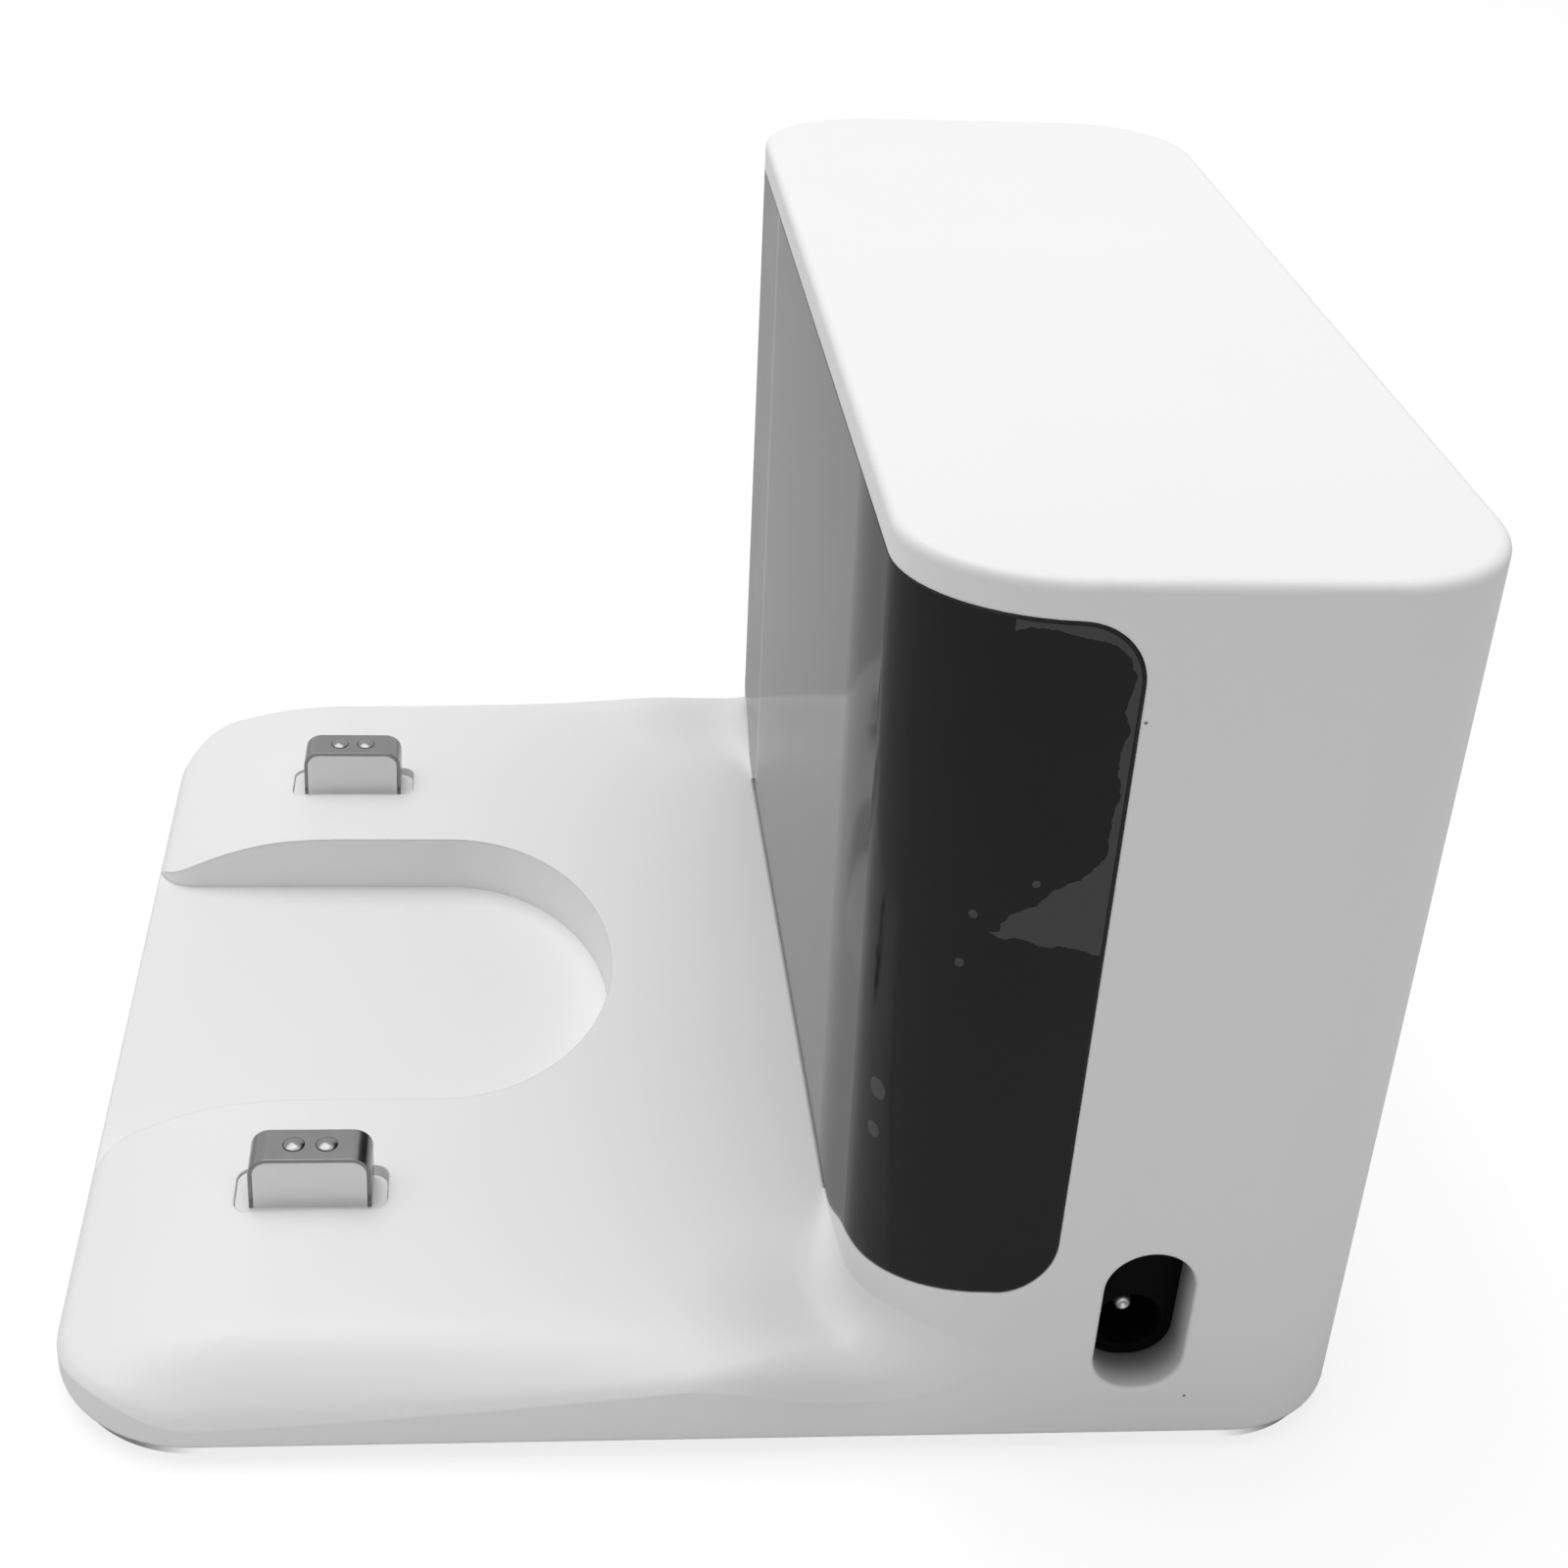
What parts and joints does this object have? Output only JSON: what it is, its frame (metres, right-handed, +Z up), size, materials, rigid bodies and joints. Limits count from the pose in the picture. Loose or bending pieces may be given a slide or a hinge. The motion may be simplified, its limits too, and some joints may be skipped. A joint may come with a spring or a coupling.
{
  "type": "robot vacuum charging dock",
  "caption": "White charging dock for a robot vacuum: ramp plate with sprung contacts and a caster recess, and a tower with a wrap-round smoked window and a side power inlet.",
  "frame": {"origin": "on the floor, under the middle of the dock's outline", "axes": "+X across towards the side with the power inlet, +Y from the ramp's front edge to the back, +Z up"},
  "size_m": [0.13, 0.126, 0.093],
  "materials": {
    "white_shell": "satin",
    "white_cover": "satin",
    "white_block": "satin",
    "smoked_window": "polished",
    "grey_rubber": "matte",
    "steel": "plated",
    "contact_metal": "nickel plated",
    "spring_steel": "bright",
    "black_plastic": "matte",
    "board_green": "satin",
    "ivory_plastic": "satin",
    "clear_lamp": "polished",
    "red_lead": "satin",
    "black_lead": "satin"
  },
  "bodies": {
    "dock": {"upper_housing": "white_shell", "ir_window": "smoked_window", "bottom_cover": "white_cover", "rubber_feet": "grey_rubber", "cover_screws": "steel", "control_board": "board_green", "board_screws": "steel", "light_shroud": "black_plastic", "jack_body": "black_plastic", "jack_centre_pin": "contact_metal", "jack_outer_tail": "contact_metal", "power_lead_positive": "red_lead", "power_lead_negative": "black_lead", "power_socket": "ivory_plastic", "ir_led_left": "clear_lamp", "ir_led_centre": "clear_lamp", "ir_led_right": "clear_lamp", "contact_springs_near": "spring_steel", "contact_terminal_near": "contact_metal", "contact_lead_near": "red_lead", "contact_socket_near": "ivory_plastic", "contact_springs_far": "spring_steel", "contact_terminal_far": "contact_metal", "contact_lead_far": "black_lead", "contact_socket_far": "ivory_plastic"},
    "near_contact": {"contact_strip_near": "contact_metal", "contact_block_near": "white_block"},
    "far_contact": {"contact_strip_far": "contact_metal", "contact_block_far": "white_block"}
  },
  "joints": [
    {"name": "near_contact_press", "type": "slide", "parent": "dock", "child": "near_contact", "axis": [0, 0, -1], "range_m": [0, 0.003], "stiffness_N_per_m": 300, "springref_m": -0.001, "deforming": ["contact_springs_near"]},
    {"name": "far_contact_press", "type": "slide", "parent": "dock", "child": "far_contact", "axis": [0, 0, -1], "range_m": [0, 0.003], "stiffness_N_per_m": 300, "springref_m": -0.001, "deforming": ["contact_springs_far"]}
  ]
}
